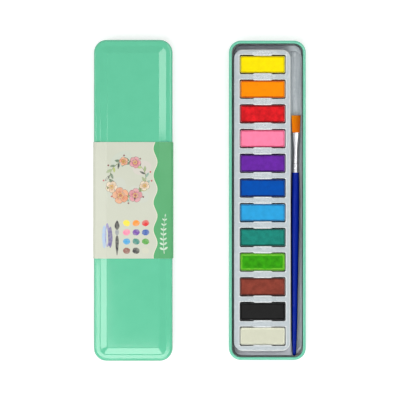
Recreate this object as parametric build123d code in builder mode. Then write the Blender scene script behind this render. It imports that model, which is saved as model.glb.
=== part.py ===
from build123d import *
import os
from math import cos, radians, sin, sqrt, tan

# Gouache paint box: a flat slip-lid tin with a formed plastic tray, twelve pans and a brush.
# Millimetres, +Z up. The origin is the centre of the underside of the open base tin.
# X runs across the box and Y along it, with the bristles towards +Y.
# The lid lies beside the base in its card sleeve, as the box lies when it is laid out open.

# Tinplate
tin_wall = 0.23
base_corner = 8.1
bottom_bend = 1.6
curl_width = 2.2
curl_turn = 285.0
rim_above_deck = 1.8

# Pans of paint, which set the size of the box
pan_count = 12
pan_length = 30.3
pan_width = 11.5
pan_height = 9.2
pan_corner = 1.2
pan_wall = 0.55
pan_floor = 0.8
pan_foot_round = 0.5
pan_lip_round = 0.2
mould_draft = 2.0
cake_drop = 0.5
cake_shrink = 0.04
cake_edge_round = 0.3

# Formed plastic tray
tray_sheet = 0.7
tray_seat = 0.25
tray_gap = 0.3
pan_seat = 0.25
pan_drop = 1.1
well_end_gap = 0.4
well_side_gap = 0.8
well_corner = 1.2
well_web = 3.6
well_lip = 0.5
tub_foot_round = 0.6
tab_width = 13.4
tab_bulge = 0.6
tab_side_angle = 30.0
tab_round = 0.8
island_end_margin = 3.6
island_left_margin = 4.3
island_right_margin = 3.4
island_left_gap = 0.8
island_corner = 6.0
island_edge = 1.5
end_ledge = 3.4
ledge_height = 5.9
skirt_corner = 5.5
skirt_edge = 0.9
clipped_corner = 4.6
channel_width = 7.7
channel_depth = 1.3
channel_wall = 0.8
channel_top_gap = 4.2
channel_bottom_gap = 2.8
channel_round_corner = 4.4
channel_clipped_corner = 4.0

# Slip lid
lid_gap = 0.32
lid_skirt = 13.3
lid_shoulder = 1.8
hem_height = 2.0
hem_roundness = 0.9
border_width = 4.4
band_width = 4.6
panel_rise = 1.1
panel_corner = 1.3
band_bend = 2.5
lid_spacing = 90.6

# Card sleeve
sleeve_length = 78.5
sleeve_card = 0.3
sleeve_gap = 0.2
sleeve_fold = 0.5
lap_width = 12.0
lap_offset = -6.0

# Flat brush
handle_length = 124.0
handle_front_radius = 2.5
handle_belly_radius = 2.8
handle_belly_at = 30.0
handle_slim_radius = 2.15
handle_slim_at = 85.0
handle_rear_radius = 1.6
handle_rear_at = 117.0
handle_tip_radius = 1.35
tenon_length = 11.0
tenon_gap = 0.03
ferrule_length = 27.0
ferrule_wall = 0.25
ferrule_rear_radius = 2.45
ferrule_neck_radius = 2.1
ferrule_neck_at = 14.0
ferrule_mouth_width = 5.6
ferrule_mouth_depth = 2.3
crimp_places = (2.2, 6.4)
crimp_depth = 0.18
crimp_half_width = 0.7
brush_joint_y = 18.8
brush_slant = 0.42
brush_tilt = 0.31
brush_seat = 0.3
brush_wall_gap = 0.25
bristle_length = 11.8
bristle_slice = 0.8
bristle_gap = 0.12
bristle_tip_width = 6.3
bristle_tip_depth = 1.0
filament_root_radius = 0.058
filament_tip_radius = 0.034
filament_rows = 9
filaments_across = 40
filament_unevenness = 0.3

# Heights, built up from the floor of the tin
draft_slope = tan(radians(mould_draft))
tray_foot = tin_wall + tray_seat
well_floor = tray_foot + tray_sheet
pan_base = well_floor + pan_seat
pan_rim = pan_base + pan_height
deck_height = pan_rim + pan_drop
base_height = deck_height + rim_above_deck

# Lengths along and across the tray, built up from the pans
well_length = pan_length + 2 * well_end_gap
well_width = pan_width + 2 * well_side_gap
well_pitch = well_width + well_web
island_length = (pan_count - 1) * well_pitch + well_width + 2 * island_end_margin
island_width = island_left_margin + well_length + island_right_margin
base_length = island_length + 2 * (end_ledge + tray_gap + curl_width)
base_width = island_left_gap + island_width + channel_width + tray_gap + 2 * curl_width
rim_opening = base_width - 2 * curl_width
island_left = -rim_opening / 2 + island_left_gap
island_right = island_left + island_width
island_x = (island_left + island_right) / 2
well_x = island_left + island_left_margin + well_length / 2
skirt_left = island_left + tray_sheet / 2
skirt_right = rim_opening / 2 - tray_gap
skirt_length = island_length + 2 * end_ledge
first_well_y = (pan_count - 1) * well_pitch / 2
well_places = [(well_x, first_well_y - place * well_pitch) for place in range(pan_count)]

# Brush channel, an arc between the wall of the island and the skirt
channel_left = island_right + (deck_height - ledge_height) * draft_slope
channel_right = skirt_right - tray_sheet
channel_x = (channel_left + channel_right) / 2
channel_half = (channel_right - channel_left) / 2
channel_radius = (channel_half**2 + channel_depth**2) / (2 * channel_depth)
channel_floor = ledge_height - channel_wall - channel_depth
channel_top = skirt_length / 2 - channel_top_gap
channel_bottom = channel_bottom_gap - skirt_length / 2

# Brush, lying in the channel against the wall of the island, its rear end on the ledge
brush_x = channel_left + brush_wall_gap + handle_belly_radius
brush_room = channel_radius - handle_belly_radius - brush_seat
brush_z = channel_floor + channel_radius - sqrt(brush_room**2 - (channel_x - brush_x) ** 2)
brush_level = cos(radians(brush_tilt))
brush_drop = sin(radians(brush_tilt))
brush_ahead = Vector(sin(radians(brush_slant)), cos(radians(brush_slant)), 0)
brush_along = brush_ahead * brush_level - Vector(0, 0, brush_drop)
brush_up = brush_ahead * brush_drop + Vector(0, 0, brush_level)
brush_across = Vector(cos(radians(brush_slant)), -sin(radians(brush_slant)), 0)
brush_joint = Vector(
    brush_x + handle_belly_at * sin(radians(brush_slant)),
    brush_joint_y,
    brush_z - handle_belly_at * brush_drop,
)
brush_side_plane = Plane(brush_joint, x_dir=brush_along, z_dir=brush_up)
brush_axis = Axis(brush_joint, brush_along)

# Lid and sleeve, built up from the base
lid_width = base_width + 2 * (lid_gap + tin_wall)
lid_length = base_length + 2 * (lid_gap + tin_wall)
lid_corner = base_corner + lid_gap + tin_wall
panel_inset = border_width + band_width
lid_rest = 2 * sleeve_card + sleeve_gap
lid_plane = Plane((-lid_spacing, 0, lid_rest))


def plane_down(x, y, height):
    """Sketch plane that faces down, so that an extrusion runs towards the table."""
    return Plane((x, y, height), x_dir=(1, 0, 0), z_dir=(0, 0, -1))


def brush_plane(along):
    """Plane square to the brush, its x across the flat of the bristles."""
    return Plane(brush_joint + brush_along * along, x_dir=brush_across, z_dir=brush_along)


def rounded_path(width, length, corner, height):
    """Closed path round a rounded rectangle, from the middle of its right side."""
    side = width / 2 - corner
    end = length / 2 - corner
    with BuildLine(Plane.XY.offset(height)) as path:
        Line((width / 2, 0), (width / 2, end))
        CenterArc((side, end), corner, 0, 90)
        Line((side, length / 2), (-side, length / 2))
        CenterArc((-side, end), corner, 90, 90)
        Line((-width / 2, end), (-width / 2, -end))
        CenterArc((-side, -end), corner, 180, 90)
        Line((-side, -length / 2), (side, -length / 2))
        CenterArc((side, -end), corner, 270, 90)
        Line((width / 2, -end), (width / 2, 0))
    return path.wire()


def drawn_body(inset, height):
    """Closed form of the base up to a height, with every face moved in by the inset."""
    with BuildPart() as form:
        with BuildSketch(Plane.XY.offset(inset)):
            RectangleRounded(base_width - 2 * inset, base_length - 2 * inset, base_corner - inset)
        extrude(amount=height - inset)
        fillet(form.edges().group_by(Axis.Z)[0], radius=bottom_bend - inset)
    return form.part


def pressed_lid(inset):
    """Closed form of the lid with every face moved in by the inset."""
    border_top = lid_skirt - inset
    panel_top = border_top + panel_rise
    with BuildPart() as form:
        with BuildSketch(lid_plane):
            RectangleRounded(lid_width - 2 * inset, lid_length - 2 * inset, lid_corner - inset)
        extrude(amount=border_top)
        fillet(form.edges().group_by(Axis.Z)[-1], radius=lid_shoulder - inset)
        with BuildSketch(lid_plane.offset(border_top)):
            RectangleRounded(
                lid_width - 2 * border_width,
                lid_length - 2 * border_width,
                lid_corner - border_width,
            )
        with BuildSketch(lid_plane.offset(panel_top)):
            RectangleRounded(
                lid_width - 2 * panel_inset,
                lid_length - 2 * panel_inset,
                panel_corner,
            )
        loft(ruled=True)
        fillet(form.edges().group_by(Axis.Z)[-1], radius=band_bend - inset)
        border = form.faces().filter_by(Axis.Z).group_by(Axis.Z)[-2][0]
        fillet(border.inner_wires()[0].edges(), radius=band_bend + inset)
    return form.part


def island_form(inset):
    """Raised deck of the tray with its drafted walls, every face moved in by the inset."""
    with BuildPart() as form:
        with BuildSketch(plane_down(island_x, 0, deck_height - inset)):
            RectangleRounded(
                island_width - 2 * inset,
                island_length - 2 * inset,
                island_corner - inset,
            )
        extrude(amount=deck_height - inset - tray_foot, taper=-mould_draft)
        fillet(form.edges().group_by(Axis.Z)[-1], radius=island_edge - inset)
    return form.part


def skirt_form(inset):
    """Low body of the tray under its ledges and channel, every face moved in by the inset."""
    with BuildPart() as form:
        with BuildSketch(Plane.XY.offset(tray_foot)) as outline:
            with Locations(((skirt_left + skirt_right) / 2, 0)):
                Rectangle(skirt_right - skirt_left, skirt_length)
            clipped = outline.vertices().group_by(Axis.Y)[0].sort_by(Axis.X)[-1]
            chamfer(clipped, length=clipped_corner)
            top_corners = outline.vertices().group_by(Axis.Y)[-1]
            bottom_left = outline.vertices().group_by(Axis.Y)[0].sort_by(Axis.X)[0]
            fillet(top_corners + [bottom_left], radius=skirt_corner)
            if inset:
                offset(amount=-inset)
        extrude(amount=ledge_height - inset - tray_foot)
        fillet(form.edges().group_by(Axis.Z)[-1], radius=skirt_edge - inset)
    return form.part


def channel_form(grow):
    """Shallow round-bottomed channel for the brush, grown by a thickness."""
    length = channel_top - channel_bottom + 2 * grow
    with BuildPart() as form:
        with BuildSketch(Plane.XZ.offset(-channel_top - grow)):
            with Locations((channel_x, channel_floor + channel_radius)):
                Circle(channel_radius + grow)
        extrude(amount=length)
        with BuildSketch(Plane.XY.offset(tray_foot)) as plan:
            with Locations((channel_x, (channel_top + channel_bottom) / 2)):
                Rectangle(2 * (channel_half + grow), length)
            clipped = plan.vertices().group_by(Axis.Y)[0].sort_by(Axis.X)[-1]
            chamfer(clipped, length=channel_clipped_corner)
            rounded = plan.vertices().group_by(Axis.Y)[-1].sort_by(Axis.X)[-1]
            fillet(rounded, radius=channel_round_corner + grow)
        extrude(amount=ledge_height - tray_foot, mode=Mode.INTERSECT)
    return form.part


def tub_form():
    """Outside of one well, as it hangs under the deck."""
    with BuildPart() as form:
        with BuildSketch(plane_down(0, 0, deck_height - tray_sheet / 2)):
            RectangleRounded(
                well_length + 2 * tray_sheet,
                well_width + 2 * tray_sheet,
                well_corner + tray_sheet,
            )
        extrude(amount=deck_height - tray_sheet / 2 - tray_foot, taper=mould_draft)
        fillet(form.edges().group_by(Axis.Z)[0], radius=tub_foot_round)
    return form.part


def well_form():
    """Hollow of one well, with a grip tab standing in from each long side."""
    with BuildPart() as form:
        with BuildSketch(plane_down(0, 0, deck_height)) as outline:
            RectangleRounded(well_length, well_width, well_corner)
            for side, turn in ((-1, 0), (1, 180)):
                with Locations((0, side * well_width / 2)):
                    Trapezoid(
                        tab_width,
                        tab_bulge,
                        tab_side_angle,
                        rotation=turn,
                        align=(Align.CENTER, Align.MIN),
                        mode=Mode.SUBTRACT,
                    )
            tab_corners = outline.vertices().filter_by(
                lambda corner: abs(corner.X) < (tab_width + tab_round) / 2
            )
            fillet(tab_corners, radius=tab_round)
        extrude(amount=deck_height - well_floor, taper=mould_draft)
    return form.part


def ferrule_radius(along):
    """Outer radius of the round part of the ferrule, at a distance from the handle."""
    share = along / ferrule_neck_at
    return ferrule_rear_radius + (ferrule_neck_radius - ferrule_rear_radius) * share


def crimped_form(inset, length):
    """Round core with the two crimps pressed in, thinner than the ferrule by the inset."""
    with BuildPart() as form:
        with BuildSketch(brush_side_plane):
            with BuildLine():
                start = (0, ferrule_radius(0) - inset)
                Line((0, 0), start)
                for place in crimp_places:
                    rise = place - crimp_half_width
                    fall = place + crimp_half_width
                    rise_point = (rise, ferrule_radius(rise) - inset)
                    dip_point = (place, ferrule_radius(place) - inset - crimp_depth)
                    fall_point = (fall, ferrule_radius(fall) - inset)
                    Line(start, rise_point)
                    ThreePointArc(rise_point, dip_point, fall_point)
                    start = fall_point
                front = (length, ferrule_radius(length) - inset)
                Line(start, front)
                Line(front, (length, 0))
                Line((length, 0), (0, 0))
            make_face()
        revolve(axis=brush_axis)
    return form.part


def flattened_form(inset):
    """Front of the ferrule, from its round neck to its flat mouth."""
    middle = (ferrule_neck_at + ferrule_length) / 2
    neck = ferrule_radius(ferrule_neck_at) - inset
    half_width = ferrule_mouth_width / 2 - inset
    half_depth = ferrule_mouth_depth / 2 - inset
    with BuildPart() as form:
        with BuildSketch(brush_plane(ferrule_neck_at)):
            Circle(neck)
        with BuildSketch(brush_plane(middle)):
            Ellipse((neck + half_width) / 2, (neck + half_depth) / 2)
        with BuildSketch(brush_plane(ferrule_length)):
            Ellipse(half_width, half_depth)
        loft()
    return form.part


os.makedirs("parts", exist_ok=True)

# Base tin: drawn tinplate with a rounded bottom edge and a rim rolled inwards
# Its flat floor is a node of its own, which meets the wall where the bend begins
rim_radius = curl_width / 2
rim_centre = (base_width / 2 - rim_radius, base_height - rim_radius)
rim_path = rounded_path(base_width, base_length, base_corner, base_height - rim_radius)
base_outside = drawn_body(0, base_height - rim_radius)
base_inside = drawn_body(tin_wall, base_height - rim_radius)

with BuildPart() as base_floor:
    with BuildSketch():
        RectangleRounded(
            base_width - 2 * bottom_bend,
            base_length - 2 * bottom_bend,
            base_corner - bottom_bend,
        )
    extrude(amount=tin_wall)
base_floor.part.label = "base_floor"
export_step(base_floor.part, "parts/base_floor.step")

with BuildPart() as base_tin:
    add(base_outside)
    add([base_inside, base_floor.part], mode=Mode.SUBTRACT)
    with BuildSketch(Plane.XZ):
        with BuildLine():
            roll_out = CenterArc(rim_centre, rim_radius, 0, curl_turn)
            roll_in = CenterArc(rim_centre, rim_radius - tin_wall, 0, curl_turn)
            Line(roll_out @ 0, roll_in @ 0)
            Line(roll_out @ 1, roll_in @ 1)
        make_face()
    sweep(path=rim_path)
base_tin.part.label = "base_tin"
export_step(base_tin.part, "parts/base_tin.step")

# Lid tin: a raised panel, a sloping band round it, a flat border and a hemmed skirt
lid_outside = pressed_lid(0)
lid_inside = pressed_lid(tin_wall)

with BuildPart() as lid_tin:
    add(lid_outside)
    add(lid_inside, mode=Mode.SUBTRACT)
    with BuildSketch(lid_plane):
        RectangleRounded(lid_width, lid_length, lid_corner)
        RectangleRounded(
            lid_width - 4 * tin_wall,
            lid_length - 4 * tin_wall,
            lid_corner - 2 * tin_wall,
            mode=Mode.SUBTRACT,
        )
    extrude(amount=hem_height)
    fillet(lid_tin.edges().group_by(Axis.Z)[0], radius=hem_roundness * tin_wall)
lid_tin.part.label = "lid_tin"
export_step(lid_tin.part, "parts/lid_tin.step")

# Sleeve: one strip of card folded round the lid and glued in a lap underneath
sleeve_half = lid_width / 2 + sleeve_gap
shoulder_height = lid_rest + lid_skirt + sleeve_gap
crown_height = shoulder_height + panel_rise
crown_half = lid_width / 2 - panel_inset

with BuildSketch() as sleeve_bore:
    with BuildLine():
        Polyline(
            (-sleeve_half, sleeve_card),
            (-sleeve_half, shoulder_height),
            (-crown_half, crown_height),
            (crown_half, crown_height),
            (sleeve_half, shoulder_height),
            (sleeve_half, sleeve_card),
            close=True,
        )
    make_face()
    fillet(sleeve_bore.vertices().group_by(Axis.Y)[1], radius=lid_shoulder + sleeve_gap)
    fillet(sleeve_bore.vertices().group_by(Axis.Y)[0], radius=sleeve_fold)

with BuildPart() as sleeve:
    with BuildSketch(Plane((-lid_spacing, 0, 0), x_dir=(1, 0, 0), z_dir=(0, -1, 0))):
        add(sleeve_bore.sketch)
        offset(amount=sleeve_card)
        add(sleeve_bore.sketch, mode=Mode.SUBTRACT)
        with Locations((lap_offset, 1.5 * sleeve_card)):
            Rectangle(lap_width, sleeve_card)
    extrude(amount=sleeve_length / 2, both=True)
sleeve.part.label = "sleeve"
export_step(sleeve.part, "parts/sleeve.step")

# Tray: one sheet of plastic formed into a deck with wells, end ledges and a brush channel
island_outside = island_form(0)
island_inside = island_form(tray_sheet)
skirt_outside = skirt_form(0)
skirt_inside = skirt_form(tray_sheet)
channel_outside = channel_form(tray_sheet)
channel_inside = channel_form(0)
well_tub = tub_form()
well_hollow = well_form()

with BuildPart() as tray:
    add(skirt_outside)
    add(island_outside)
    add([skirt_inside, island_inside], mode=Mode.SUBTRACT)
    add(channel_outside)
    add(channel_inside, mode=Mode.SUBTRACT)
    with Locations(well_places):
        add(well_tub)
    with Locations(well_places):
        add(well_hollow, mode=Mode.SUBTRACT)
    deck = tray.faces().filter_by(Axis.Z).group_by(Axis.Z)[-1][0]
    lips = [edge for wire in deck.inner_wires() for edge in wire.edges()]
    fillet(lips, radius=well_lip)
tray.part.label = "tray"
export_step(tray.part, "parts/tray.step")

# Pans and the cakes of paint poured into them, one pair in each well
cake_inset = pan_wall + cake_drop * draft_slope + cake_shrink

for number, (x, y) in enumerate(well_places, start=1):
    with BuildPart() as pan:
        with BuildSketch(plane_down(x, y, pan_rim)):
            RectangleRounded(pan_length, pan_width, pan_corner)
        extrude(amount=pan_height, taper=mould_draft)
        fillet(pan.edges().group_by(Axis.Z)[0], radius=pan_foot_round)
        with BuildSketch(plane_down(x, y, pan_rim)):
            RectangleRounded(pan_length - 2 * pan_wall, pan_width - 2 * pan_wall, pan_corner - pan_wall)
        extrude(amount=pan_height - pan_floor, taper=mould_draft, mode=Mode.SUBTRACT)
        fillet(pan.edges().group_by(Axis.Z)[-1], radius=pan_lip_round)
    pan.part.label = f"pan_{number:02d}"
    export_step(pan.part, f"parts/pan_{number:02d}.step")

    with BuildPart() as cake:
        with BuildSketch(plane_down(x, y, pan_rim - cake_drop)):
            RectangleRounded(
                pan_length - 2 * cake_inset,
                pan_width - 2 * cake_inset,
                pan_corner - pan_wall,
            )
        extrude(amount=pan_height - cake_drop - pan_floor, taper=mould_draft)
        fillet(cake.edges().group_by(Axis.Z)[-1], radius=cake_edge_round)
    cake.part.label = f"cake_{number:02d}"
    export_step(cake.part, f"parts/cake_{number:02d}.step")

# Brush ferrule: drawn metal tube, round over the handle and flattened at the bristles
ferrule_outside = [crimped_form(0, ferrule_neck_at), flattened_form(0)]
ferrule_bore = [crimped_form(ferrule_wall, ferrule_neck_at), flattened_form(ferrule_wall)]

with BuildPart() as brush_ferrule:
    add(ferrule_outside)
    add(ferrule_bore, mode=Mode.SUBTRACT)
brush_ferrule.part.label = "brush_ferrule"
export_step(brush_ferrule.part, "parts/brush_ferrule.step")

# Brush handle: turned wood with a belly, a slim rear and a tenon that the crimps hold
tenon = crimped_form(ferrule_wall + tenon_gap, tenon_length)

with BuildPart() as brush_handle:
    with BuildSketch(brush_side_plane):
        with BuildLine():
            Line((0, 0), (0, handle_front_radius))
            Spline(
                (0, handle_front_radius),
                (-handle_belly_at, handle_belly_radius),
                (-handle_slim_at, handle_slim_radius),
                (-handle_rear_at, handle_rear_radius),
                (handle_tip_radius - handle_length, handle_tip_radius),
            )
            RadiusArc(
                (handle_tip_radius - handle_length, handle_tip_radius),
                (-handle_length, 0),
                -handle_tip_radius,
            )
            Line((-handle_length, 0), (0, 0))
        make_face()
    revolve(axis=brush_axis)
    add(tenon)
brush_handle.part.label = "brush_handle"
export_step(brush_handle.part, "parts/brush_handle.step")

# Brush bristles: synthetic filaments fanned out from the slice that the ferrule holds
root_half_width = ferrule_mouth_width / 2 - ferrule_wall - bristle_gap
root_half_depth = ferrule_mouth_depth / 2 - ferrule_wall - bristle_gap
root_plane = brush_plane(ferrule_length - bristle_slice / 4)
filaments = []
for row in range(filament_rows):
    level = (2 * row - (filament_rows - 1)) / (filament_rows + 1)
    chord = sqrt(1 - level**2)
    row_count = round(filaments_across * chord)
    for column in range(row_count):
        across = chord * (2 * column - (row_count - 1)) / row_count
        longer = filament_unevenness * sin(7 * column + 5 * row)
        tip_plane = brush_plane(ferrule_length + bristle_length - filament_unevenness + longer)
        root_place = Location((across * root_half_width, level * root_half_depth))
        tip_place = Location((across * bristle_tip_width / 2, level * bristle_tip_depth / 2))
        root = root_plane * root_place * RegularPolygon(filament_root_radius, 3)
        tip = tip_plane * tip_place * RegularPolygon(filament_tip_radius, 3)
        filaments.append(Solid.make_loft([root.wire(), tip.wire()], ruled=True))

with BuildPart() as brush_bristles:
    with BuildSketch(brush_plane(ferrule_length - bristle_slice)):
        Ellipse(root_half_width, root_half_depth)
    extrude(amount=bristle_slice)
    add(filaments)
brush_bristles.part.label = "brush_bristles"
export_step(brush_bristles.part, "parts/brush_bristles.step")
print(len(filaments), "filaments in the brush")
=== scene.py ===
import random
from math import atan2, cos, pi, sin

import bmesh
import bpy
from mathutils import Matrix, Vector


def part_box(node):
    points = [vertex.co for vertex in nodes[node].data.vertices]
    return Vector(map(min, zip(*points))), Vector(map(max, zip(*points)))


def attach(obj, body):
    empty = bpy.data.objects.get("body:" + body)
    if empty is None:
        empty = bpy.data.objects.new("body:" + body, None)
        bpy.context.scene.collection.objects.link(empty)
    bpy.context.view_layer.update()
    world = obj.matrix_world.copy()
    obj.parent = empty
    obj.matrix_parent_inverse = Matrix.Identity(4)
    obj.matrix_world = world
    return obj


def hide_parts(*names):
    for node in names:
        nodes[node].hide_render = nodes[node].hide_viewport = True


# Gouache paint box: an open tin of pans with its brush, beside its lid in a card sleeve.
# Metres, +Z up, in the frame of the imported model.
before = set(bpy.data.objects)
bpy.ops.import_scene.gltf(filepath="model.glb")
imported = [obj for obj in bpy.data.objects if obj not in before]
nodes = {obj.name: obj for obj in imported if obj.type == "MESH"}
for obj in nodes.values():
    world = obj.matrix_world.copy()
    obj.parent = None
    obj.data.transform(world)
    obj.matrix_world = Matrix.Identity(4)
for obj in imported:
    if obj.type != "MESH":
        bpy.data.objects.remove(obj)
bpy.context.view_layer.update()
mm = 0.001

# Camera: straight above the set, as the photograph was taken.
# The picture is 400 pixels wide and covers 270 mm at the height of the tin's rim.
picture_pixels = 400
pixel_size = 0.675 * mm
camera_height = 1500 * mm
sight_x = -45.5 * mm
sight_y = 0.2 * mm
base_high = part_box("base_tin")[1]


def add_object(name, data):
    """New object in the scene, made of a camera, a lamp or a mesh."""
    new_object = bpy.data.objects.new(name, data)
    bpy.context.scene.collection.objects.link(new_object)
    return new_object


camera_data = bpy.data.cameras.new("camera")
camera_data.lens = camera_data.sensor_width * camera_height / (picture_pixels * pixel_size)
camera = add_object("camera", camera_data)
camera.location = (sight_x, sight_y, base_high.z + camera_height)
bpy.context.scene.camera = camera
bpy.context.scene.view_settings.view_transform = "Standard"

# Stage: a white table and a white room with a dim ceiling, as in a catalogue picture.
# The tins shade the table a little. Soft boxes light the set from four sides.
# The strips are mirrored by the brush and the sleeve, the border boxes by the flat border of the lid.
table_size = 4.0
table_white = 0.8
table_glow = 0.4
room_fill = 0.49
ceiling_share = 0.5
wall_top = 0.2
ceiling_edge = 0.6
box_height = 800 * mm


def feed(tree, socket, value):
    """Links an output to a socket, or sets the socket to a plain value."""
    if isinstance(value, bpy.types.NodeSocket):
        tree.links.new(value, socket)
    else:
        socket.default_value = value


def maths(tree, operation, *terms, clamp=False):
    """Output of a Math node, fed with outputs or numbers."""
    node = tree.nodes.new("ShaderNodeMath")
    node.operation = operation
    node.use_clamp = clamp
    for socket, term in zip(node.inputs, terms):
        feed(tree, socket, term)
    return node.outputs[0]


def ramp(tree, value, start, end):
    """Share that goes from 0 to 1 as a value goes from start to end, and no further."""
    return maths(tree, "MULTIPLY_ADD", value, 1 / (end - start), -start / (end - start), clamp=True)


def between(tree, share, first, second):
    """Number that goes from the first to the second value as the share goes from 0 to 1."""
    return maths(tree, "MULTIPLY_ADD", share, second - first, first)


def split(tree, vector):
    """Outputs X, Y and Z of a vector."""
    node = tree.nodes.new("ShaderNodeSeparateXYZ")
    feed(tree, node.inputs[0], vector)
    return node.outputs


def sees_background(tree):
    """One for the rays that show the background: the camera's, and those off metal and gloss."""
    path = tree.nodes.new("ShaderNodeLightPath")
    direct = maths(tree, "ADD", path.outputs["Is Camera Ray"], path.outputs["Is Glossy Ray"])
    return maths(tree, "ADD", direct, path.outputs["Is Transmission Ray"], clamp=True)


def add_piece(name, form, material):
    """Object made of a finished bmesh and its material."""
    mesh = bpy.data.meshes.new(name)
    form.to_mesh(mesh)
    form.free()
    mesh.materials.append(material)
    return add_object(name, mesh)


table_material = bpy.data.materials.new("table_white")
table_material.use_nodes = True
tree = table_material.node_tree
tree.nodes.remove(tree.nodes["Principled BSDF"])
matte = tree.nodes.new("ShaderNodeBsdfDiffuse")
matte.inputs["Color"].default_value = (table_white, table_white, table_white, 1)
glow = tree.nodes.new("ShaderNodeEmission")
feed(tree, glow.inputs["Strength"], maths(tree, "MULTIPLY", sees_background(tree), table_glow))
both = tree.nodes.new("ShaderNodeAddShader")
feed(tree, both.inputs[0], matte.outputs[0])
feed(tree, both.inputs[1], glow.outputs[0])
feed(tree, tree.nodes["Material Output"].inputs["Surface"], both.outputs[0])

table_form = bmesh.new()
bmesh.ops.create_grid(table_form, x_segments=1, y_segments=1, size=table_size / 2)
table = add_piece("table", table_form, table_material)

room = bpy.data.worlds.new("room")
room.use_nodes = True
bpy.context.scene.world = room
tree = room.node_tree
fill = tree.nodes["Background"]
fill.inputs["Color"].default_value = (1, 1, 1, 1)
fill.inputs["Strength"].default_value = room_fill
white = tree.nodes.new("ShaderNodeBackground")
white.inputs["Color"].default_value = (1, 1, 1, 1)
height = split(tree, tree.nodes.new("ShaderNodeTexCoord").outputs["Generated"])["Z"]
overhead = ramp(tree, height, wall_top, ceiling_edge)
feed(tree, white.inputs["Strength"], between(tree, overhead, 1, ceiling_share))
choice = tree.nodes.new("ShaderNodeMixShader")
feed(tree, choice.inputs[0], sees_background(tree))
feed(tree, choice.inputs[1], fill.outputs[0])
feed(tree, choice.inputs[2], white.outputs[0])
feed(tree, tree.nodes["World Output"].inputs["Surface"], choice.outputs[0])

# Place across and along, width and length of each soft box in metres, and its watts.
soft_boxes = {
    "right_box": (0.27, 0.245, 0.36, 0.35, 1.8),
    "low_box": (-1.05, 0.10, 0.25, 0.50, 1.6),
    "left_box": (-0.62, -0.145, 0.34, 0.19, 1.25),
    "front_box": (-0.13, -0.63, 0.80, 0.28, 4.6),
    "right_strip": (1.5, -0.053, 0.2, 0.34, 1.8),
    "left_strip": (-0.315, 0.0135, 0.09, 0.143, 0.24),
    "border_strip": (-0.1775, -0.113, 0.066, 0.102, 0.135),
    "border_foot": (-0.117, -0.1835, 0.1, 0.057, 0.145),
}
for name, (x, y, width, length, watts) in soft_boxes.items():
    lamp = bpy.data.lights.new(name, "AREA")
    lamp.shape = "RECTANGLE"
    lamp.size = width
    lamp.size_y = length
    lamp.energy = watts
    add_object(name, lamp).location = (x, y, box_height)

# Base tin: tinplate printed with mint enamel on its outside, drawn into a flat-bottomed box.
# Its edge is rolled inwards, so that the enamel goes over the rim and the inside stays bare.
# Its steep walls are painted a darker mint as shade, and the inward face under the roll darker still.
curl_width = 2.2 * mm
above_all = 1.0
inner_reach = 2 * mm
enamel_patch = 9 * mm
enamel_grain = 0.35 * mm
enamel_relief = 0.004 * mm
rolling_line = 0.12 * mm
rolling_stretch = 60.0


def linear(red, green, blue):
    """Colour for a shader from the red, green and blue that a screen shows, 0 to 255."""
    shares = [channel / 255 for channel in (red, green, blue)]
    return [share / 12.92 if share < 0.04045 else ((share + 0.055) / 1.055) ** 2.4
            for share in shares] + [1]


mint = linear(96, 197, 157)
deep_mint = linear(88, 190, 149)
# Painted shade: the darker mint of the steep walls, and the darker one under the roll.
painted_wall_shade_mint = linear(74, 160, 126)
rim_mint = linear(106, 198, 166)
fold_shade = linear(40, 84, 68)
bare_tin = linear(196, 198, 200)
dull_tin = linear(160, 163, 166)


def mix(tree, share, first, second):
    """Output of a Mix node for two colours."""
    node = tree.nodes.new("ShaderNodeMix")
    node.data_type = "RGBA"
    feed(tree, node.inputs[0], share)
    feed(tree, node.inputs[6], first)
    feed(tree, node.inputs[7], second)
    return node.outputs[2]


def product(tree, first, *others):
    """Product of several masks or numbers."""
    for other in others:
        first = maths(tree, "MULTIPLY", first, other)
    return first


def object_place(tree):
    """Place of a point of the surface, as X, Y and Z in the frame of the set."""
    return split(tree, tree.nodes.new("ShaderNodeTexCoord").outputs["Object"])


def facing_way(tree):
    """Way that the surface faces, as X, Y and Z."""
    return split(tree, tree.nodes.new("ShaderNodeNewGeometry").outputs["Normal"])


def new_group(name, inputs, outputs):
    """Node group with named number sockets, and its input and output nodes."""
    tree = bpy.data.node_groups.new(name, "ShaderNodeTree")
    for title in inputs:
        tree.interface.new_socket(title, in_out="INPUT", socket_type="NodeSocketFloat")
    for title in outputs:
        tree.interface.new_socket(title, in_out="OUTPUT", socket_type="NodeSocketFloat")
    return tree, tree.nodes.new("NodeGroupInput"), tree.nodes.new("NodeGroupOutput")


def use_group(tree, group, **values):
    """Outputs of a group node in a material, with its inputs set by name."""
    node = tree.nodes.new("ShaderNodeGroup")
    node.node_tree = group
    for title, value in values.items():
        node.inputs[title.replace("_", " ").title()].default_value = value
    return node.outputs


def noise(tree, place, size, detail):
    """Output of a noise whose features are about as large as the given size."""
    node = tree.nodes.new("ShaderNodeTexNoise")
    node.inputs["Detail"].default_value = detail
    node.inputs["Roughness"].default_value = 0.5
    feed(tree, node.inputs["Vector"], place)
    feed(tree, node.inputs["Scale"], maths(tree, "DIVIDE", 1.0, size))
    return node.outputs["Fac"]


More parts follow.
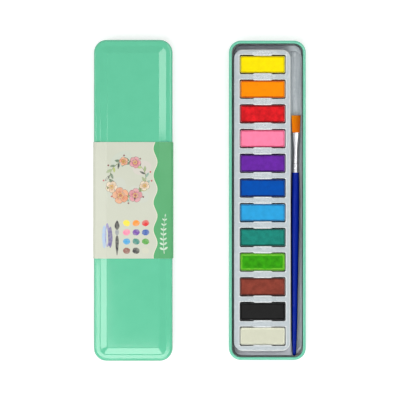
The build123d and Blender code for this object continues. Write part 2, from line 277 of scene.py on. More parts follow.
def unevenness_group():
    """Uneven surface: soft patches of one size and grains of another, both drawn out along Y."""
    tree, start, end = new_group(
        "unevenness", ["Patch Size", "Grain Size", "Stretch"], ["Patches", "Grains"])
    squeeze = tree.nodes.new("ShaderNodeCombineXYZ")
    squeeze.inputs["X"].default_value = 1
    squeeze.inputs["Z"].default_value = 1
    feed(tree, squeeze.inputs["Y"], maths(tree, "DIVIDE", 1.0, start.outputs["Stretch"]))
    along = tree.nodes.new("ShaderNodeVectorMath")
    along.operation = "MULTIPLY"
    feed(tree, along.inputs[0], tree.nodes.new("ShaderNodeTexCoord").outputs["Object"])
    feed(tree, along.inputs[1], squeeze.outputs[0])
    for title, size, detail in (("Patches", "Patch Size", 3.0), ("Grains", "Grain Size", 2.0)):
        feed(tree, end.inputs[title], noise(tree, along.outputs[0], start.outputs[size], detail))
    return tree


def bare_side_group():
    """Bare inner face of a pressed tin, but not the sheet that is rolled or folded over."""
    tree, start, end = new_group(
        "bare_side", ["Centre X", "Inside Up", "Fold From", "Fold To"], ["Bare", "Folded", "Inward"])
    place = object_place(tree)
    facing = facing_way(tree)
    aside = maths(tree, "SUBTRACT", place["X"], start.outputs["Centre X"])
    across = maths(tree, "MULTIPLY", facing["X"], aside)
    outward = maths(tree, "MULTIPLY_ADD", facing["Y"], place["Y"], across)
    inward = maths(tree, "LESS_THAN", outward, -inner_reach)
    upward = maths(tree, "MULTIPLY", facing["Z"], start.outputs["Inside Up"])
    inner = maths(tree, "MAXIMUM", inward, maths(tree, "GREATER_THAN", upward, 0.5))
    over = maths(tree, "GREATER_THAN", place["Z"], start.outputs["Fold From"])
    under = maths(tree, "LESS_THAN", place["Z"], start.outputs["Fold To"])
    folded = maths(tree, "MULTIPLY", over, under)
    feed(tree, end.inputs["Bare"], maths(tree, "MULTIPLY", inner, maths(tree, "SUBTRACT", 1.0, folded)))
    feed(tree, end.inputs["Folded"], folded)
    feed(tree, end.inputs["Inward"], inward)
    return tree


unevenness = unevenness_group()
bare_side = bare_side_group()


def uneven(tree, patch_size, grain_size, stretch=1.0):
    """Patches and grains of these sizes on a material, drawn out along Y by the stretch."""
    return use_group(tree, unevenness, patch_size=patch_size, grain_size=grain_size, stretch=stretch)


def new_surface(name):
    """New material, its node tree and its shader."""
    material = bpy.data.materials.new(name)
    material.use_nodes = True
    return material, material.node_tree, material.node_tree.nodes["Principled BSDF"]


def raise_surface(tree, shader, height, depth):
    """Bump of a real depth on the shader's normal."""
    bump = tree.nodes.new("ShaderNodeBump")
    bump.inputs["Distance"].default_value = depth
    feed(tree, bump.inputs["Height"], height)
    feed(tree, shader.inputs["Normal"], bump.outputs[0])


def tin_surface(name, centre_x, inside_up, fold_from, fold_to, fold_color):
    """Glossy enamel on one side of a tinplate sheet, painted darker as shade on its steep walls and
    under its roll, bare rolled tin on the other.
    """
    material, tree, shader = new_surface(name)
    side = use_group(tree, bare_side, centre_x=centre_x, inside_up=inside_up,
                     fold_from=fold_from, fold_to=fold_to)
    coat = uneven(tree, enamel_patch, enamel_grain)
    metal = uneven(tree, enamel_patch, rolling_line, rolling_stretch)
    upward = facing_way(tree)["Z"]
    # Steep walls are painted darker as shade.
    painted_shading = ramp(tree, maths(tree, "ABSOLUTE", upward), 0.7, 0.3)
    enamel = mix(tree, painted_shading, mix(tree, coat["Patches"], deep_mint, mint), painted_wall_shade_mint)
    # The inward face under the roll is painted darker still as shade.
    painted_shade_under_roll = product(tree, ramp(tree, upward, 0.725, 0.475), side["Inward"])
    enamel = mix(tree, side["Folded"], enamel, mix(tree, painted_shade_under_roll, fold_color, fold_shade))
    sheet = mix(tree, metal["Grains"], dull_tin, bare_tin)
    feed(tree, shader.inputs["Base Color"], mix(tree, side["Bare"], enamel, sheet))
    feed(tree, shader.inputs["Metallic"], side["Bare"])
    enamel_roughness = between(tree, coat["Patches"], 0.42, 0.52)
    sheet_roughness = between(tree, metal["Grains"], 0.22, 0.4)
    extra = maths(tree, "SUBTRACT", sheet_roughness, enamel_roughness)
    roughness = maths(tree, "MULTIPLY_ADD", side["Bare"], extra, enamel_roughness)
    feed(tree, shader.inputs["Roughness"], roughness)
    feed(tree, shader.inputs["Coat Weight"], between(tree, side["Bare"], 1.0, 0.0))
    shader.inputs["Coat Roughness"].default_value = 0.07
    shader.inputs["Specular IOR Level"].default_value = 0.1
    raise_surface(tree, shader, coat["Grains"], enamel_relief)
    return material


def finish_node(node, material):
    """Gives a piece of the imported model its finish."""
    nodes[node].data.materials.clear()
    nodes[node].data.materials.append(material)


base_enamel = tin_surface("base_enamel", centre_x=0.0, inside_up=1.0, fold_from=base_high.z - curl_width,
                          fold_to=above_all, fold_color=rim_mint)
finish_node("base_tin", base_enamel)
finish_node("base_floor", base_enamel)

# Tray: one sheet of light grey plastic, warmed and drawn over a mould, with a well for each pan.
# The sheet thins and ripples a little between the wells, which shows in its gloss. Glints are painted
# there.
# Its walls are painted dark as shade in the depths of the wells and the channel, and paler where light
# comes in.
tray_grey = linear(193, 202, 204)
tray_shade = linear(172, 181, 187)
# Painted light and shade: the lip and glint whites, the ledges, the channel's streaks and the wall
# tones.
lip_painted_highlight = linear(238, 241, 240)
painted_glint_white = linear(246, 249, 252)
near_ledge_painted_light = linear(222, 226, 234)
far_ledge_painted_shade = linear(122, 128, 136)
deep_wall_painted_shade = linear(40, 44, 50)
channel_wall_painted_light = linear(146, 152, 157)
channel_painted_highlight = linear(214, 220, 224)
well_lit = linear(206, 212, 215)
well_shade = linear(112, 118, 124)
outer_wall_painted_shade = linear(92, 97, 103)

tray_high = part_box("tray")[1]
pan_low, pan_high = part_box("pan_01")
next_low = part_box("pan_02")[0]
last_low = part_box("pan_12")[0]
handle_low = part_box("brush_handle")[0]
well_x = (pan_low.x + pan_high.x) / 2
well_y = (pan_low.y + pan_high.y) / 2
pan_width = pan_high.y - pan_low.y
pan_length = pan_high.x - pan_low.x
well_pitch = pan_low.y - next_low.y
well_reach = 1 * mm
web_reach = 9 * mm
deck_edge = 1.4 * mm
deck_end = 4.5 * mm
lip_from = 0.65 * mm
lip_width = 0.55 * mm
ledge_side = handle_low.x + 2 * mm
ledge_fade = 9 * mm
outer_wall = 2 * mm
channel_top = tray_high.y - 4.2 * mm
glints_from = -50 * mm
glints_full = 93 * mm
tray_relief = 0.8 * mm


def tray_surface():
    """Glossy formed plastic: painted paler where it is bent, as a highlight, and puckered in the webs
    between the tabs.
    """
    material, tree, shader = new_surface("formed_plastic")
    place = object_place(tree)
    facing = facing_way(tree)
    ripple = uneven(tree, patch_size=4.0 * mm, grain_size=1.1 * mm, stretch=0.6)
    high = maths(tree, "GREATER_THAN", place["Z"], tray_high.z - deck_edge)
    low = maths(tree, "SUBTRACT", 1.0, high)
    sheet = mix(tree, ripple["Patches"], tray_shade, tray_grey)

    # The far ledge is painted darker as shade, away from the brush. The near one is painted paler as if
    # lit.
    beyond = ramp(tree, place["Y"], pan_high.y, pan_high.y + deck_end)
    fading = ramp(tree, place["X"], ledge_side, ledge_side - ledge_fade)
    sheet = mix(tree, product(tree, beyond, fading, low), sheet, far_ledge_painted_shade)
    ahead = ramp(tree, place["Y"], last_low.y, last_low.y - deck_end)
    sheet = mix(tree, product(tree, ahead, low), sheet, near_ledge_painted_light)

    # How far a point is from the side and the end of the nearest pan.
    cell = maths(tree, "MULTIPLY_ADD", place["Y"], 1 / well_pitch, -well_y / well_pitch)
    cell = maths(tree, "ABSOLUTE", maths(tree, "SUBTRACT", cell, maths(tree, "ROUND", cell)))
    past_side = maths(tree, "MULTIPLY_ADD", cell, well_pitch, -pan_width / 2)
    aside = maths(tree, "ABSOLUTE", maths(tree, "SUBTRACT", place["X"], well_x))
    past_end = maths(tree, "SUBTRACT", aside, pan_length / 2)

    # The steep walls of the wells, of the channel and of the tray's left side, painted darker or paler
    # as shade and light by the way each faces.
    turned = ramp(tree, facing["X"], -0.833, 0.833)
    outer = maths(tree, "LESS_THAN", place["X"], pan_low.x - outer_wall)
    well_end = mix(tree, turned, well_lit, well_shade)
    well_wall = mix(tree, maths(tree, "ABSOLUTE", facing["Y"]), well_end, deep_wall_painted_shade)
    in_well = maths(tree, "LESS_THAN", past_end, well_reach)
    wall = mix(tree, in_well, mix(tree, turned, deep_wall_painted_shade, channel_wall_painted_light), well_wall)
    upright = ramp(tree, facing["Z"], 0.6, 0.267)
    sheet = mix(tree, product(tree, upright, low), sheet, mix(tree, outer, wall, outer_wall_painted_shade))
    leaning = ramp(tree, facing["Z"], 0.875, 0.625)
    leftward = maths(tree, "LESS_THAN", facing["X"], -0.3)
    sheet = mix(tree, product(tree, leaning, leftward, outer), sheet, outer_wall_painted_shade)

    # Highlight streaks painted along the channel, drawn out along it.
    painted_shading = uneven(tree, patch_size=1.3 * mm, grain_size=0.5 * mm, stretch=22.0)
    right_side = maths(tree, "GREATER_THAN", place["X"], handle_low.x)
    below_top = maths(tree, "LESS_THAN", place["Y"], channel_top)
    streak = ramp(tree, painted_shading["Patches"], 0.483, 0.65)
    sheet = mix(tree, product(tree, streak, low, right_side, below_top, 0.75), sheet, channel_painted_highlight)

    # Painted highlights: a pale lip round each well, and pale bends of the deck, save those facing left.
    past_well = maths(tree, "SUBTRACT", maths(tree, "MAXIMUM", past_side, past_end), lip_from)
    lip = ramp(tree, maths(tree, "ABSOLUTE", past_well), lip_width, 0)
    bent = product(tree, ramp(tree, facing["Z"], 0.98, 0.78), ramp(tree, facing["Z"], 0.25, 0.5))
    edge = product(tree, bent, ramp(tree, facing["X"], -1 / 3, 0), high)
    sheet = mix(tree, maths(tree, "MAXIMUM", product(tree, lip, high, 0.7), edge), sheet, lip_painted_highlight)

    # Puckers in the webs, and scribbled glints painted on them, more of them towards the far end.
    web = product(tree, ramp(tree, aside, web_reach, 0.6 * web_reach), high)
    crease = uneven(tree, patch_size=2.0 * mm, grain_size=0.9 * mm, stretch=0.5)
    scribble = maths(tree, "ABSOLUTE", maths(tree, "SUBTRACT", crease["Patches"], crease["Grains"]))
    scribble = ramp(tree, scribble, 0.05, 0.00455)
    glint = product(tree, scribble, ramp(tree, place["Y"], glints_from, glints_full), web)
    feed(tree, shader.inputs["Base Color"], mix(tree, glint, sheet, painted_glint_white))
    feed(tree, shader.inputs["Roughness"], between(tree, ripple["Grains"], 0.1, 0.26))
    height = maths(tree, "MULTIPLY_ADD", ripple["Grains"], 0.3, ripple["Patches"])
    raise_surface(tree, shader, product(tree, height, between(tree, web, 0.45, 1.4)), tray_relief)
    return material


finish_node("tray", tray_surface())

# Pans and paint: a clear moulded pan takes on the colour of the gouache that was poured into it.
# The paint has a thin rim of another depth along its edge, painted in for the shade and highlights
# there, and a mottled top.
# Each row has the colours of the top, the rim and the pan's ends, the rim in mm, mottling and grain.
paint_colors = {
    "yellow": ((250, 228, 1), (206, 184, 8), (232, 222, 90), 0.35, 0.06, 0.02),
    "orange": ((249, 143, 1), (222, 104, 6), (230, 160, 90), 0.40, 0.06, 0.06),
    "red": ((222, 30, 37), (160, 12, 20), (214, 92, 98), 0.45, 0.30, 0.25),
    "pink": ((254, 132, 168), (216, 88, 124), (240, 152, 182), 0.40, 0.08, 0.05),
    "purple": ((106, 41, 162), (72, 22, 116), (122, 84, 160), 0.45, 0.15, 0.45),
    "blue": ((1, 78, 171), (8, 50, 128), (44, 88, 158), 0.40, 0.08, 0.10),
    "light_blue": ((46, 160, 218), (44, 128, 182), (74, 152, 202), 0.50, 0.08, 0.05),
    "teal": ((30, 133, 119), (18, 92, 84), (56, 122, 116), 0.40, 0.15, 0.45),
    "green": ((54, 158, 16), (112, 195, 51), (112, 186, 64), 1.20, 0.30, 0.30),
    "brown": ((137, 63, 50), (98, 42, 34), (138, 88, 80), 0.40, 0.20, 0.45),
    "black": ((35, 35, 35), (8, 8, 9), (14, 14, 16), 0.55, 0.10, 0.20),
    "white": ((205, 206, 185), (238, 239, 220), (222, 224, 208), 0.60, 0.03, 0.03),
}
paint_patch = 3.5 * mm
paint_grain = 0.55 * mm
paint_relief = 0.16 * mm
pan_patch = 2.5 * mm
pan_grain = 0.3 * mm
pan_relief = 0.01 * mm
pan_end = 0.9 * mm


def edge_distance_group():
    """Distance of a point from the nearest side of a block, seen from above."""
    tree, start, end = new_group(
        "edge_distance", ["Centre X", "Centre Y", "Half Width", "Half Length"], ["Distance"])
    place = object_place(tree)
    rooms = []
    for axis, half in (("X", "Half Width"), ("Y", "Half Length")):
        aside = maths(tree, "SUBTRACT", place[axis], start.outputs[f"Centre {axis}"])
        rooms.append(maths(tree, "SUBTRACT", start.outputs[half], maths(tree, "ABSOLUTE", aside)))
    feed(tree, end.inputs["Distance"], maths(tree, "MINIMUM", *rooms))
    return tree


edge_distance = edge_distance_group()


def toned(color, share):
    """A colour made darker or lighter by a share of itself."""
    return [min(channel * share, 1.0) for channel in color[:3]] + [1]


def paint_surface(name, box, top, rim, rim_width, mottling, graininess):
    """Dried gouache: matt, mottled and grainy, with a rim of another tone painted along its edge for the
    shade and highlights there.
    """
    material, tree, shader = new_surface(name)
    low, high = box
    middle = (low + high) / 2
    half = (high - low) / 2
    room = use_group(tree, edge_distance, centre_x=middle.x, centre_y=middle.y,
                     half_width=half.x, half_length=half.y)["Distance"]
    grain = uneven(tree, paint_patch, paint_grain)
    paint = linear(*top)
    spread = ramp(tree, grain["Patches"], 1 / 3, 2 / 3)
    mottled = mix(tree, spread, toned(paint, 1 - mottling), toned(paint, 1 + 0.5 * mottling))
    specks = product(tree, ramp(tree, grain["Grains"], 0.55, 0.717), graininess)
    speckled = mix(tree, specks, mottled, toned(paint, 0.45))
    rim_size = rim_width * mm
    wander = between(tree, grain["Patches"], -0.8 * rim_size, 0.8 * rim_size)
    # A rim of another tone is painted along the edge, for the shade and highlights there.
    painted_edge_rim = ramp(tree, maths(tree, "ADD", room, wander), 0.45 * rim_size, 0.95 * rim_size)
    feed(tree, shader.inputs["Base Color"], mix(tree, painted_edge_rim, linear(*rim), speckled))
    feed(tree, shader.inputs["Roughness"], between(tree, grain["Patches"], 0.5, 0.75))
    shader.inputs["Specular IOR Level"].default_value = 0.06
    height = maths(tree, "MULTIPLY_ADD", grain["Grains"], 0.4, grain["Patches"])
    raise_surface(tree, shader, height, paint_relief)
    return material


def pan_surface(name, side_tone, end_tone):
    """Clear moulded plastic over paint: glossy, the colour of the paint, and paler at its ends."""
    material, tree, shader = new_surface(name)
    grain = uneven(tree, pan_patch, pan_grain)
    aside = maths(tree, "ABSOLUTE", maths(tree, "SUBTRACT", object_place(tree)["X"], well_x))
    from_end = maths(tree, "SUBTRACT", pan_length / 2, aside)
    at_end = ramp(tree, from_end, 1.5 * pan_end, 0.5 * pan_end)
    color = mix(tree, at_end, side_tone, end_tone)
    darker = mix(tree, at_end, toned(side_tone, 0.8), toned(end_tone, 0.8))
    feed(tree, shader.inputs["Base Color"], mix(tree, grain["Patches"], darker, color))
    feed(tree, shader.inputs["Roughness"], between(tree, grain["Grains"], 0.12, 0.22))
    raise_surface(tree, shader, grain["Grains"], pan_relief)
    return material


for number, (color, (top, rim, pan, *texture)) in enumerate(paint_colors.items(), start=1):
    cake = f"cake_{number:02d}"
    finish_node(cake, paint_surface(f"gouache_{color}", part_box(cake), top, rim, *texture))
    finish_node(f"pan_{number:02d}", pan_surface(f"pan_over_{color}", linear(*rim), linear(*pan)))

# Brush handle: turned wood, dipped in deep blue lacquer.
# The lacquer is thick and glossy, with faint streaks along the wood. Its sides are painted darker as
# shade.
lacquer_blue = linear(2, 43, 160)
lacquer_deep = linear(1, 24, 134)
lacquer_painted_shade = linear(1, 4, 76)
lacquer_relief = 0.01 * mm


def lacquer_surface():
    """Deep blue lacquer over turned wood, its sides painted darker as shade."""
    material, tree, shader = new_surface("blue_lacquer")
    streaks = uneven(tree, patch_size=1.6 * mm, grain_size=0.3 * mm, stretch=14.0)
    # The sides are painted darker as shade.
    painted_side_shade = ramp(tree, maths(tree, "ABSOLUTE", facing_way(tree)["Z"]), 0.909, 0.4545)
    lacquer = mix(tree, streaks["Patches"], lacquer_deep, lacquer_blue)
    feed(tree, shader.inputs["Base Color"], mix(tree, painted_side_shade, lacquer, lacquer_painted_shade))
    feed(tree, shader.inputs["Roughness"], between(tree, streaks["Grains"], 0.25, 0.35))
    shader.inputs["Specular IOR Level"].default_value = 0.05
    shader.inputs["Coat Weight"].default_value = 0.12
    shader.inputs["Coat Roughness"].default_value = 0.1
    raise_surface(tree, shader, streaks["Patches"], lacquer_relief)
    return material


finish_node("brush_handle", lacquer_surface())

# Ferrule: thin tube of nickelled brass, drawn and then flattened at its mouth.
# It is polished, with the fine lines of the drawing along it.
nickel = linear(226, 226, 228)
nickel_shade = linear(205, 206, 210)
nickel_relief = 0.03 * mm


def nickel_surface():
    """Polished nickel with faint lines along the tube."""
    material, tree, shader = new_surface("polished_nickel")
    lines = uneven(tree, patch_size=2.5 * mm, grain_size=0.15 * mm, stretch=25.0)
    feed(tree, shader.inputs["Base Color"], mix(tree, lines["Grains"], nickel_shade, nickel))
    shader.inputs["Metallic"].default_value = 1.0
    feed(tree, shader.inputs["Roughness"], between(tree, lines["Grains"], 0.24, 0.36))
    raise_surface(tree, shader, lines["Patches"], nickel_relief)
    return material


finish_node("brush_ferrule", nickel_surface())

# Bristles: golden synthetic filaments, glued in the ferrule and cut to a flat chisel edge.
# Each filament tapers to a soft point, and no two end quite level.
mouth_width = 4.9 * mm
mouth_depth = 1.5 * mm
edge_width = 6.3 * mm
edge_depth = 0.9 * mm
head_belly = 0.12 * mm
filament_rows = 13
filaments_across = 62
filament_radius = 0.065 * mm
filament_point = 0.045 * mm
filament_sides = 5
filament_sway = 0.06 * mm
filament_cuts = (-0.25, 0.0, 0.25)
glue_depth = 0.7 * mm
tip_unevenness = 0.35 * mm
brush_slant = 0.42 * pi / 180
brush_tilt = 0.31 * pi / 180

bristle_low, bristle_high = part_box("brush_bristles")
brush_head_x = (bristle_low.x + bristle_high.x) / 2
bristle_z = (bristle_low.z + bristle_high.z) / 2
free_length = bristle_high.y - bristle_low.y - glue_depth
mouth_y = bristle_low.y + glue_depth
random.seed(12)

filament_form = bmesh.new()
bmesh.ops.create_cone(
    filament_form, cap_ends=True, segments=filament_sides, radius1=filament_radius,
    radius2=filament_point, depth=1.0, matrix=Matrix.Rotation(-pi / 2, 4, "X"))
for cut in filament_cuts:
    bmesh.ops.bisect_plane(
        filament_form, geom=filament_form.verts[:] + filament_form.edges[:] + filament_form.faces[:],
        plane_co=(0, cut, 0), plane_no=(0, 1, 0))
filament_mesh = bpy.data.meshes.new("filament")
filament_form.to_mesh(filament_mesh)
filament_form.free()

bristle_form = bmesh.new()
shade = bristle_form.loops.layers.float_color.new("shade")
for row in range(filament_rows):
    level = (2 * row - (filament_rows - 1)) / (filament_rows + 1)
    chord = (1 - level**2) ** 0.5
    row_count = round(filaments_across * chord)
    for column in range(row_count):
        across = chord * (2 * column + 1 - row_count) / row_count
        start = Vector((across * mouth_width / 2, 0, level * mouth_depth / 2))
        tip = Vector((across * edge_width / 2, 0, level * edge_depth / 2))
        length = free_length - tip_unevenness * random.random()
        sway = Vector((random.uniform(-1, 1), 0, random.uniform(-1, 1))) * filament_sway
        tone = random.random()
        first = len(bristle_form.verts)
        first_face = len(bristle_form.faces)
        bristle_form.from_mesh(filament_mesh)
        bristle_form.verts.ensure_lookup_table()
        bristle_form.faces.ensure_lookup_table()
        for vertex in bristle_form.verts[first:]:
            along = vertex.co.y + 0.5
            middle = start.lerp(tip, along) + sway * sin(pi * along)
            vertex.co.x += middle.x
            vertex.co.z += middle.z + sin(pi * along) * level * head_belly
            vertex.co.y = bristle_low.y + along * (length + glue_depth)
        for face in bristle_form.faces[first_face:]:
            for loop in face.loops:
                loop[shade] = (tone, tone, tone, 1)
bmesh.ops.rotate(
    bristle_form, verts=bristle_form.verts[:], cent=(0, mouth_y, 0),
    matrix=Matrix.Rotation(-brush_slant, 3, "Z") @ Matrix.Rotation(-brush_tilt, 3, "X"))
bmesh.ops.translate(bristle_form, verts=bristle_form.verts[:], vec=(brush_head_x, 0, bristle_z))
bpy.data.meshes.remove(filament_mesh)

filament_gold = linear(255, 164, 1)
filament_deep = linear(254, 132, 0)
filament_tip = linear(240, 168, 28)
filament_painted_shade = linear(178, 78, 2)
filament_mouth_dark = linear(122, 58, 8)


def filament_surface():
    """Golden nylon: deeper towards the ferrule and paler at the points, in uneven tones, darker just out
    of the ferrule's mouth, with painted shade along one edge.
    """
    material, tree, shader = new_surface("golden_nylon")
    place = object_place(tree)
    tone = tree.nodes.new("ShaderNodeAttribute")
    tone.attribute_name = "shade"
    along = ramp(tree, place["Y"], mouth_y, mouth_y + free_length)
    body = mix(tree, along, filament_deep, filament_gold)
    body = mix(tree, ramp(tree, along, 0.875, 1.0), body, filament_tip)
    # One edge is painted darker as shade.
    across = ramp(tree, place["X"], brush_head_x - edge_width / 2, brush_head_x + edge_width / 2)
    body = mix(tree, across, body, filament_painted_shade)
    body = mix(tree, ramp(tree, along, 1 / 18, 0), body, filament_mouth_dark)
    dark = product(tree, tone.outputs["Fac"], 0.35)
    feed(tree, shader.inputs["Base Color"], mix(tree, dark, body, filament_deep))
    shader.inputs["Roughness"].default_value = 0.4
    shader.inputs["Metallic"].default_value = 0.45
    shader.inputs["Specular IOR Level"].default_value = 0.1
    return material


bristles = add_piece("bristles", bristle_form, filament_surface())
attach(bristles, "brush")
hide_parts("brush_bristles")

# Lid tin: the same sheet, pressed with a raised panel and a sloping band, and hemmed at its edge.
# The hem is folded inwards and shows its enamel, in the darker mint that is painted as shade.
lid_low, lid_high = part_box("lid_tin")
lid_x = (lid_low.x + lid_high.x) / 2
hem_height = 2.0 * mm
below_all = -1.0
finish_node("lid_tin", tin_surface(
    "lid_enamel", centre_x=lid_x, inside_up=-1.0, fold_from=below_all,
    fold_to=lid_low.z + hem_height, fold_color=painted_wall_shade_mint))

# Sleeve: one strip of coated white card, folded round the lid and printed.
# A mint field with a waved edge runs down one side. Flowers, leaves and dabs of colour fill the rest.
sleeve_low, sleeve_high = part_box("sleeve")
wave_middle = -75.5 * mm
wave_depth = 1.3 * mm
wave_length = 18.2 * mm
wave_crest_y = 7.6 * mm
wave_outline = 0.45 * mm
cut_edge = 0.02 * mm
card_patch = 14 * mm
card_grain = 0.25 * mm
card_relief = 0.003 * mm

card_white = linear(203, 206, 189)
card_shade = linear(197, 200, 182)
card_outline = linear(228, 226, 205)
card_core = linear(232, 230, 222)
print_mint = linear(68, 160, 97)
print_mint_light = linear(80, 169, 108)


def card_surface():
    """Coated card: a printed mint field with a waved and outlined edge, and raw card at the cuts."""
    material, tree, shader = new_surface("printed_card")
    place = object_place(tree)
    paper = uneven(tree, card_patch, card_grain)
    turn = maths(tree, "MULTIPLY_ADD", place["Y"], 2 * pi / wave_length,
                 -2 * pi * wave_crest_y / wave_length)
    edge = maths(tree, "MULTIPLY_ADD", maths(tree, "COSINE", turn), wave_depth, wave_middle)
    past_edge = maths(tree, "SUBTRACT", place["X"], edge)
    outlined = maths(tree, "GREATER_THAN", past_edge, -wave_outline)
    field = maths(tree, "GREATER_THAN", past_edge, 0.0)
    ground = mix(tree, paper["Patches"], card_shade, card_white)
    ground = mix(tree, outlined, ground, card_outline)
    ground = mix(tree, field, ground, mix(tree, paper["Patches"], print_mint, print_mint_light))
    cut = maths(tree, "GREATER_THAN", maths(tree, "ABSOLUTE", place["Y"]), sleeve_high.y - cut_edge)
    feed(tree, shader.inputs["Base Color"], mix(tree, cut, ground, card_core))
    feed(tree, shader.inputs["Roughness"], between(tree, paper["Grains"], 0.38, 0.5))
    feed(tree, shader.inputs["Coat Weight"], between(tree, cut, 0.4, 0.0))
    shader.inputs["Coat Roughness"].default_value = 0.2
    raise_surface(tree, shader, paper["Grains"], card_relief)
    return material


finish_node("sleeve", card_surface())

# Print on the sleeve: a wreath of leaves and blossoms, and one dab for each colour in the box.
# Every shape is a film of ink on the flat top of the card, a little thicker where shapes overlap.
# The film is in metres. Places and sizes on the card are in millimetres from its middle.
sleeve_x = (sleeve_low.x + sleeve_high.x) / 2
ink_film = 0.012 * mm
ink_overlap = 0.006 * mm
ink_sides = 22
ink_patch = 2.6 * mm
ink_grain = 0.3 * mm
crown_half = 17.6
slope_share = 1.1 / 9.2

leaf_greens = [linear(*color) for color in (
    (116, 130, 66), (150, 168, 118), (84, 112, 82), (172, 186, 96), (128, 164, 146))]
leaf_whites = [linear(*color) for color in ((186, 216, 190), (204, 228, 206))]
lilac_tones = [linear(*color) for color in ((166, 190, 222), (142, 132, 186), (96, 84, 146))]
berry_reds = [linear(*color) for color in ((120, 34, 46), (186, 56, 62))]
wash_tones = [linear(*color) for color in ((200, 204, 190), (208, 202, 192), (196, 203, 188))]
petal_tones = {
    "pink": [linear(*color) for color in ((222, 150, 158), (212, 130, 140), (166, 70, 84))],
    "peach": [linear(*color) for color in ((232, 168, 128), (224, 148, 108), (182, 92, 64))],
    "cream": [linear(*color) for color in ((232, 214, 186), (224, 196, 164), (186, 136, 104))],
}
stamen_gold = linear(214, 170, 60)
brush_ink = linear(34, 34, 38)
ferrule_ink = linear(150, 154, 158)
ink_line = linear(96, 50, 48)
dark_leaf = linear(40, 46, 40)

random.seed(7)
ink_form = bmesh.new()
ink = ink_form.loops.layers.float_color.new("ink")


def color_ink(vertices, color):
    """Colours the faces round the vertices of a shape of ink."""
    for face in {face for vertex in vertices for face in vertex.link_faces}:
        for loop in face.loops:
            loop[ink] = color


def card_level(x):
    """Height of the card at a place across it: flat on the crown, then sloping down."""
    return sleeve_high.z - max(abs(x) - crown_half, 0) * slope_share * mm


def aim(turn):
    """Vector of length one on the card, at a turn from X."""
    return Vector((cos(turn), sin(turn)))


def lay_ink(color, layer, x, y, length, width, turn=0.0, point=0.0, swell=0.0, ragged=0.0):
    """One flat shape on the card: round, pointed like a leaf, or swelling like a petal."""
    plate = bmesh.ops.create_cone(
        ink_form, cap_ends=True, segments=ink_sides, radius1=1, radius2=1, depth=1)["verts"]
    reaches = [1 + ragged * random.uniform(-1, 1) for side in range(ink_sides)]
    for number, vertex in enumerate(plate):
        along, across = vertex.co.x, vertex.co.y
        slim = (1 - along**2) ** 0.5 if abs(along) < 1 else 0.0
        across *= (1 - point + point * slim) * (1 + swell * along)
        reach = reaches[number // 2 % ink_sides]
        place = Vector((along * reach * length / 2, across * reach * width / 2, 0))
        place.rotate(Matrix.Rotation(turn, 3, "Z"))
        level = ink_film + layer * ink_overlap if vertex.co.z > 0 else -ink_film
        vertex.co = (sleeve_x + (x + place.x) * mm, (y + place.y) * mm, card_level(x + place.x) + level)
    color_ink(plate, color)


def stem_point(start, bend, end, share):
    """Point of a curved stem at a share of its length, and its direction there."""
    first = Vector(start).lerp(Vector(bend), share)
    second = Vector(bend).lerp(Vector(end), share)
    return first.lerp(second, share), (second - first).normalized()


def lay_stem(start, bend, end, width, color):
    """Stem that gets thinner towards its end."""
    ribbon = bmesh.ops.create_grid(ink_form, x_segments=18, y_segments=1, size=1)["verts"]
    faces = {face for vertex in ribbon for face in vertex.link_faces}
    for vertex in ribbon:
        share = (vertex.co.x + 1) / 2
        point, ahead = stem_point(start, bend, end, share)
        spot = point + Vector((-ahead.y, ahead.x)) * vertex.co.y * width / 2 * (1 - 0.6 * share)
        vertex.co = (sleeve_x + spot.x * mm, spot.y * mm, card_level(spot.x) - ink_film)
    raised = bmesh.ops.extrude_face_region(ink_form, geom=list(faces))["geom"]
    top = [item for item in raised if isinstance(item, bmesh.types.BMVert)]
    bmesh.ops.translate(ink_form, verts=top, vec=(0, 0, 2 * ink_film + ink_overlap))
    color_ink(top + ribbon, color)


def lay_sprig(start, bend, end, pairs, leaf_length, leaves):
    """Stem with pairs of leaves and a leaf at its end."""
    lay_stem(start, bend, end, 0.6, leaves[0])
    for pair in range(pairs):
        share = (pair + 0.8) / (pairs + 0.6)
        point, ahead = stem_point(start, bend, end, share)
        length = leaf_length * (1 - 0.45 * share)
        for side in (-1, 1):
            turn = atan2(ahead.y, ahead.x) + side * random.uniform(0.7, 1.0)
            middle = point + aim(turn) * (length / 2 + 0.1)
            lay_ink(random.choice(leaves), 2 + pair % 2, *middle, length, length * 0.44, turn, point=0.9)
    point, ahead = stem_point(start, bend, end, 1.0)
    turn = atan2(ahead.y, ahead.x)
    tip = point + ahead * leaf_length * 0.25
    lay_ink(leaves[0], 2, *tip, leaf_length * 0.6, leaf_length * 0.26, turn, point=0.9)


def lay_blossom(middle, size, tones, first_turn, petals=5, stamens=9):
    """Open blossom: round petals with darker veins, round a heart with a ring of stamens."""
    for petal in range(petals):
        turn = first_turn + 2 * pi * petal / petals + random.uniform(-0.08, 0.08)
        spot = middle + aim(turn) * size * 0.28
        level = 5 + 2 * (petal % 2)
        reach = size * 0.47
        lay_ink(ink_line, level, *spot, reach + 0.3, reach * 0.92 + 0.3, turn, swell=0.32, ragged=0.02)
        lay_ink(tones[petal % 2], level + 1, *spot, reach, reach * 0.92, turn, swell=0.32, ragged=0.02)
        for lean in (-0.3, 0.0, 0.3):
            vein = middle + aim(turn + lean) * size * 0.24
            lay_ink(tones[2], 9, *vein, size * 0.2, 0.35, turn + lean, point=0.6)
    lay_ink(tones[2], 10, *middle, size * 0.2, size * 0.2)
    for stamen in range(stamens):
        spot = middle + aim(2 * pi * stamen / stamens) * size * 0.14
        lay_ink(stamen_gold, 11, *spot, 0.75, 0.75)


# Pale washes under the wreath: place across and along, length, width and turn.
washes = ((-11, 8, 16, 12, 1.1), (6, 22, 13, 10, 0.2), (-8, 28, 15, 9, 0.5), (4, 4, 15, 10, 2.6))
for number, wash in enumerate(washes):
    lay_ink(wash_tones[number % 3], 0.1 * number, *wash, ragged=0.04)

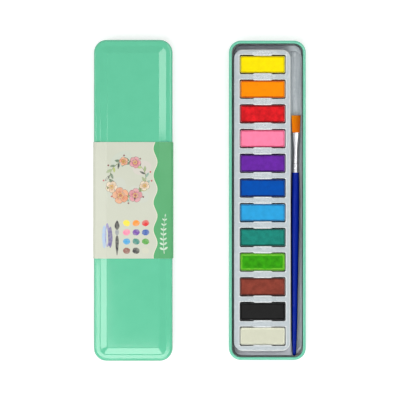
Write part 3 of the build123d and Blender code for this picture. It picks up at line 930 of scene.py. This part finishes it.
# The wreath: a stem in arcs, leaves on both its sides, berries, and blossoms over them.
wreath = Vector((-3.6, 14.4))
wreath_radius = 12.2
wreath_arcs = 6
wreath_leaves = 34
for arc in range(wreath_arcs):
    arc_turn = 2 * pi / wreath_arcs
    first_turn = arc * arc_turn
    start, end = [wreath + aim(turn) * wreath_radius for turn in (first_turn, first_turn + arc_turn)]
    bend = wreath + aim(first_turn + arc_turn / 2) * wreath_radius / cos(arc_turn / 2)
    lay_stem(start, bend, end, 0.5, leaf_greens[0])
for number in range(wreath_leaves):
    turn = 2 * pi * number / wreath_leaves + random.uniform(-0.04, 0.04)
    outside = 1 if number % 2 else -1
    length = random.uniform(3.8, 5.2)
    lean = turn + pi / 2 - outside * random.uniform(0.5, 0.8)
    reach = wreath_radius + outside * length * 0.3
    dark = number % 5 == 2
    leaf = dark_leaf if dark else random.choice(leaf_greens)
    width = length * (0.3 if dark else 0.42)
    lay_ink(leaf, 2 + number % 2, *(wreath + aim(turn) * reach), length, width, lean, point=0.9)
    if number % 4 == 1:
        spot = wreath + aim(turn + 0.1) * (reach + 2.6)
        lay_ink(random.choice(berry_reds), 4, *spot, 1.2, 1.2)
for turn, size, tone in ((4.3, 10.6, "peach"), (5.15, 9.0, "pink"), (3.6, 7.6, "cream"),
                         (5.9, 6.4, "cream"), (1.15, 7.4, "pink"), (1.8, 5.6, "peach")):
    lay_blossom(wreath + aim(turn) * wreath_radius, size, petal_tones[tone], turn)

# Strokes of lilac, the brush that laid them, and the dabs, all as if painted.
# Each stroke has its place across and along, its length and its width.
up_the_card = 1.57
strokes = ((-19.4, -24.6, 15.5, 3.0), (-17.4, -23.4, 16.5, 3.0), (-15.4, -25.0, 14.0, 3.0))
for number, stroke in enumerate(strokes):
    lay_ink(lilac_tones[number], 1 + number, *stroke, up_the_card, ragged=0.06)
painted_brush_x = -10.8
lay_ink(brush_ink, 2, painted_brush_x, -30.4, 13.6, 2.1, up_the_card, swell=0.45)
lay_ink(ferrule_ink, 3, painted_brush_x, -21.6, 4.4, 2.5, up_the_card, swell=0.12)
lay_ink(brush_ink, 4, painted_brush_x, -16.8, 6.4, 3.2, up_the_card, point=0.55, swell=-0.3)
dab_length = 4.9
dab_width = 4.1
for number, (top, *rest) in enumerate(paint_colors.values()):
    row, column = divmod(number, 3)
    spot = (6.4 * column - 4.4, -15.4 - 6.2 * row)
    lay_ink(linear(*top), 2, *spot, dab_length, dab_width, random.uniform(-0.4, 0.4), ragged=0.06)

# A pale sprig on the mint field.
lay_sprig((21, -36), (19.5, -24), (21.6, -11), 7, 3.4, leaf_whites)
bmesh.ops.recalc_face_normals(ink_form, faces=ink_form.faces[:])


def ink_surface():
    """Printed ink: each shape its own colour, with washes that run a little darker and lighter."""
    material, tree, shader = new_surface("printed_ink")
    color = tree.nodes.new("ShaderNodeAttribute")
    color.attribute_name = "ink"
    wash = uneven(tree, ink_patch, ink_grain)
    thin = product(tree, ramp(tree, wash["Patches"], 0.367, 0.7), 0.35)
    feed(tree, shader.inputs["Base Color"], mix(tree, thin, color.outputs["Color"], card_white))
    feed(tree, shader.inputs["Roughness"], between(tree, wash["Grains"], 0.38, 0.5))
    shader.inputs["Coat Weight"].default_value = 0.4
    shader.inputs["Coat Roughness"].default_value = 0.2
    return material


sleeve_print = add_piece("sleeve_print", ink_form, ink_surface())
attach(sleeve_print, "sleeve")
